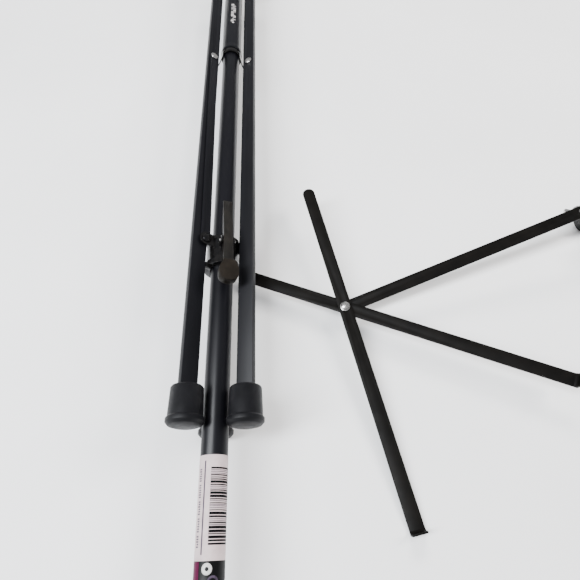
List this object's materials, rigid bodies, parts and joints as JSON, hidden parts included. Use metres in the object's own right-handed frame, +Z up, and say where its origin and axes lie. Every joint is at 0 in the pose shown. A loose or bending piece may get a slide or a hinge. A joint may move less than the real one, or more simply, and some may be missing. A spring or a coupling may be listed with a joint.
{
  "type": "folding sign stand",
  "caption": "Folding tripod stand laid flat: tube column, channel legs with braces and a runner, and a loose riveted bar frame that holds a sign on its lips.",
  "frame": {"origin": "centre of the bounding box at the floor the folded stand lies on", "axes": "+Z up, +Y along the column towards its top end, +X towards the loose sign frame"},
  "size_m": [0.4958, 1.0366, 0.0811],
  "materials": {
    "satin_black_tube": "satin",
    "black_leg_paint": "satin",
    "black_bar_paint": "satin",
    "bright_zinc": "satin",
    "black_nickel": "polished",
    "black_moulding": "matte",
    "black_rubber": "matte",
    "printed_label": "matte"
  },
  "bodies": {
    "tripod": {"hub_spider": "black_moulding", "hub_sleeve": "satin_black_tube", "leg_keeper_spring": "black_nickel", "hub_pin_1": "bright_zinc", "hub_pin_2": "bright_zinc", "hub_pin_3": "bright_zinc"},
    "leg_1": {"leg_1": "black_leg_paint", "leg_rivet_1": "bright_zinc", "foot_1": "black_rubber"},
    "brace_1": {"brace_1": "black_leg_paint"},
    "leg_2": {"leg_2": "black_leg_paint", "leg_rivet_2": "bright_zinc", "foot_2": "black_rubber"},
    "brace_2": {"brace_2": "black_leg_paint"},
    "leg_3": {"leg_3": "black_leg_paint", "leg_rivet_3": "bright_zinc", "foot_3": "black_rubber"},
    "brace_3": {"brace_3": "black_leg_paint"},
    "runner": {"runner_collar": "black_nickel", "ear_bolt_1": "black_nickel", "ear_bolt_2": "black_nickel", "ear_bolt_3": "black_nickel", "lever_pin": "bright_zinc", "lever_spring": "bright_zinc"},
    "lever": {"release_lever": "black_nickel", "lever_pad": "black_moulding"},
    "column": {"column_tube": "satin_black_tube", "column_end_cap": "black_moulding", "label_wrap": "printed_label", "clamp_collar": "black_moulding"},
    "inner": {"inner_tube": "satin_black_tube", "inner_tube_plug": "black_moulding"},
    "clamp_knob": {"clamp_knob": "black_moulding"},
    "sign_frame": {"spine_bar": "black_bar_paint", "frame_rivet": "bright_zinc", "rivet_washer": "bright_zinc", "tilt_clevis": "black_bar_paint", "clevis_rivet_1": "bright_zinc", "clevis_rivet_2": "bright_zinc", "tilt_bolt": "bright_zinc"},
    "arm_a": {"arm_a": "black_bar_paint"},
    "arm_b": {"arm_b": "black_bar_paint"},
    "wing_nut": {"wing_nut": "bright_zinc"},
    "head": {"head_socket": "black_moulding"},
    "thumb_screw": {"socket_thumb_screw": "black_moulding"}
  },
  "joints": [
    {"name": "column_slide", "type": "slide", "parent": "tripod", "child": "column", "axis": [0, 1, 0], "range_m": [0, 0.34]},
    {"name": "inner_tube_slide", "type": "slide", "parent": "column", "child": "inner", "axis": [0, 1, 0], "range_m": [0, 0.25]},
    {"name": "clamp_knob_turn", "type": "hinge", "parent": "column", "child": "clamp_knob", "pos_m": [-0.21289, 0.456, 0.05292], "axis": [-0.2588, 0, 0.9659], "range_deg": [-180, 180]},
    {"name": "leg_fold_1", "type": "hinge", "parent": "tripod", "child": "leg_1", "pos_m": [-0.1848, 0.385, 0.05383], "axis": [-0.3827, 0, 0.9239], "range_deg": [0, 38]},
    {"name": "brace_swing_1", "type": "hinge", "parent": "leg_1", "child": "brace_1", "pos_m": [-0.1848, 0.144, 0.05383], "axis": [-0.3827, 0, 0.9239], "range_deg": [-68.7, 0]},
    {"name": "leg_fold_2", "type": "hinge", "parent": "tripod", "child": "leg_2", "pos_m": [-0.2322, 0.385, 0.06007], "axis": [-0.6088, 0, -0.7934], "range_deg": [0, 38]},
    {"name": "brace_swing_2", "type": "hinge", "parent": "leg_2", "child": "brace_2", "pos_m": [-0.2322, 0.144, 0.06007], "axis": [-0.6088, 0, -0.7934], "range_deg": [-68.7, 0]},
    {"name": "leg_fold_3", "type": "hinge", "parent": "tripod", "child": "leg_3", "pos_m": [-0.21391, 0.385, 0.0159], "axis": [0.9914, 0, -0.1305], "range_deg": [0, 38]},
    {"name": "brace_swing_3", "type": "hinge", "parent": "leg_3", "child": "brace_3", "pos_m": [-0.21391, 0.144, 0.0159], "axis": [0.9914, 0, -0.1305], "range_deg": [-68.7, 0]},
    {"name": "runner_slide", "type": "slide", "parent": "tripod", "child": "runner", "axis": [0, 1, 0], "range_m": [0, 0.0946]},
    {"name": "release_lever_press", "type": "hinge", "parent": "runner", "child": "lever", "pos_m": [-0.20346, -0.153, 0.06206], "axis": [0.9397, 0, -0.342], "range_deg": [0, 8], "stiffness_Nm_per_rad": 0.6, "springref_deg": -8.59},
    {"name": "frame_pull_away", "type": "slide", "parent": "tripod", "child": "sign_frame", "axis": [1, 0, 0], "range_m": [0, 0.3]},
    {"name": "arm_a_turn", "type": "hinge", "parent": "sign_frame", "child": "arm_a", "pos_m": [-0.0887, -0.2072, 0.01791], "axis": [-0.0737, -0.0997, 0.9923], "range_deg": [-45, 32]},
    {"name": "arm_b_turn", "type": "hinge", "parent": "sign_frame", "child": "arm_b", "pos_m": [-0.0887, -0.2072, 0.01791], "axis": [-0.0737, -0.0997, 0.9923], "range_deg": [-40, 42.5]},
    {"name": "head_tilt", "type": "hinge", "parent": "sign_frame", "child": "head", "pos_m": [0.18105, -0.11152, 0.03054], "axis": [-0.3364, 0.9392, 0.0694], "range_deg": [-30, 75]},
    {"name": "wing_nut_turn", "type": "hinge", "parent": "sign_frame", "child": "wing_nut", "pos_m": [0.17933, -0.10673, 0.03089], "axis": [-0.3364, 0.9392, 0.0694], "range_deg": [-180, 180]},
    {"name": "thumb_screw_turn", "type": "hinge", "parent": "head", "child": "thumb_screw", "pos_m": [0.22512, -0.09516, 0.02285], "axis": [0.0232, -0.0654, 0.9976], "range_deg": [-180, 180]}
  ],
  "couplings": [
    {"joint": "leg_fold_2", "follows": "leg_fold_1", "ratio": 1},
    {"joint": "leg_fold_3", "follows": "leg_fold_1", "ratio": 1},
    {"joint": "brace_swing_1", "follows": "leg_fold_1", "ratio": -1.8049},
    {"joint": "brace_swing_2", "follows": "leg_fold_1", "ratio": -1.8049},
    {"joint": "brace_swing_3", "follows": "leg_fold_1", "ratio": -1.8049},
    {"joint": "runner_slide", "follows": "leg_fold_1", "m_per_rad": 0.14241}
  ]
}
